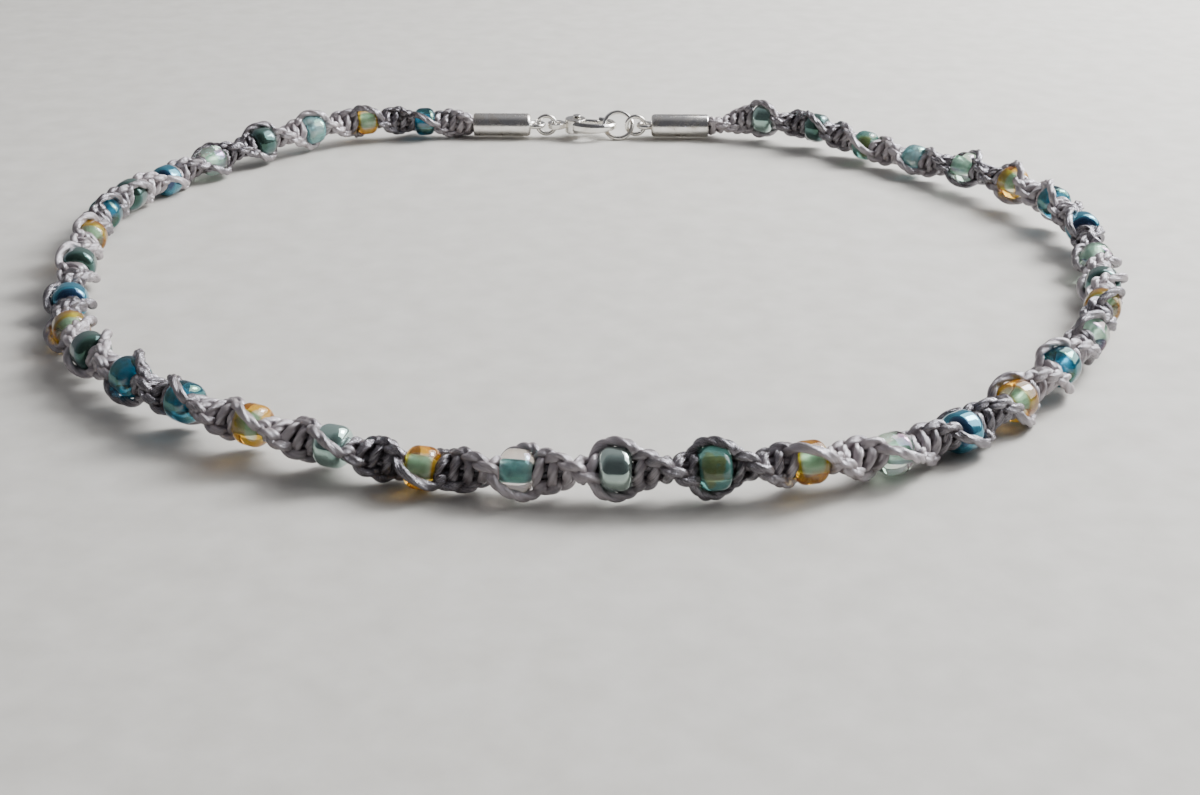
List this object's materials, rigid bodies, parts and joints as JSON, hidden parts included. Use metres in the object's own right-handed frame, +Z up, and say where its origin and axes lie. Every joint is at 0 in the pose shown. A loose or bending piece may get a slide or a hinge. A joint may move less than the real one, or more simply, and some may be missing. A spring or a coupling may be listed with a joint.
{
  "type": "beaded necklace",
  "caption": "Closed choker of glass beads held in a twisted half-knot cord, with silver end tubes and a lobster clasp with a turning lever.",
  "frame": {"origin": "bottom centre of the whole necklace's box, on the surface that it lies on", "axes": "+Z up, centre bead toward -Y, clasp toward +Y, +X to the right seen from the front"},
  "size_m": [0.1208, 0.1126, 0.0067],
  "materials": {
    "cord_satin": "satin nylon cord, taupe grey",
    "glass_blue_teal": "blue-teal lustre glass",
    "glass_amber_green": "amber glass lined with sea green",
    "glass_pale_teal": "pale teal lustre glass",
    "glass_dark_green": "dark green lustre glass",
    "glass_mint": "clear glass lined with mint",
    "glass_metal_blue": "blue metallic lustre glass",
    "glass_steel_teal": "steel teal lustre glass",
    "glass_clear_teal": "clear rainbow glass lined with teal",
    "glass_dark_mirror": "dark mirror-lustre glass",
    "glass_picasso_green": "mottled green glass",
    "silver": "silver plate, polished"
  },
  "bodies": {
    "necklace": {"knotted_cord": "cord_satin", "bead_left_19": "glass_blue_teal", "bead_left_18": "glass_amber_green", "bead_left_17": "glass_pale_teal", "bead_left_16": "glass_dark_green", "bead_left_15": "glass_mint", "bead_left_14": "glass_metal_blue", "bead_left_13": "glass_dark_green", "bead_left_12": "glass_blue_teal", "bead_left_11": "glass_amber_green", "bead_left_10": "glass_dark_green", "bead_left_09": "glass_metal_blue", "bead_left_08": "glass_amber_green", "bead_left_07": "glass_dark_green", "bead_left_06": "glass_blue_teal", "bead_left_05": "glass_blue_teal", "bead_left_04": "glass_amber_green", "bead_left_03": "glass_steel_teal", "bead_left_02": "glass_amber_green", "bead_left_01": "glass_clear_teal", "bead_centre": "glass_dark_mirror", "bead_right_01": "glass_picasso_green", "bead_right_02": "glass_amber_green", "bead_right_03": "glass_mint", "bead_right_04": "glass_metal_blue", "bead_right_05": "glass_amber_green", "bead_right_06": "glass_blue_teal", "bead_right_07": "glass_mint", "bead_right_08": "glass_amber_green", "bead_right_09": "glass_dark_green", "bead_right_10": "glass_mint", "bead_right_11": "glass_metal_blue", "bead_right_12": "glass_blue_teal", "bead_right_13": "glass_amber_green", "bead_right_14": "glass_mint", "bead_right_15": "glass_pale_teal", "bead_right_16": "glass_picasso_green", "bead_right_17": "glass_dark_green", "bead_right_18": "glass_steel_teal", "end_tube_left": "silver", "end_tube_right": "silver", "jump_ring_left": "silver", "jump_ring_right": "silver", "catch_ring": "silver", "clasp_claw": "silver", "clasp_rivet": "silver"},
    "lever": {"clasp_lever": "silver"}
  },
  "joints": [
    {"name": "clasp_lever_hinge", "type": "hinge", "parent": "necklace", "child": "lever", "pos_m": [-0.00264, 0.0543, 0.00185], "axis": [0, 0, -1], "range_deg": [0, 20]}
  ]
}
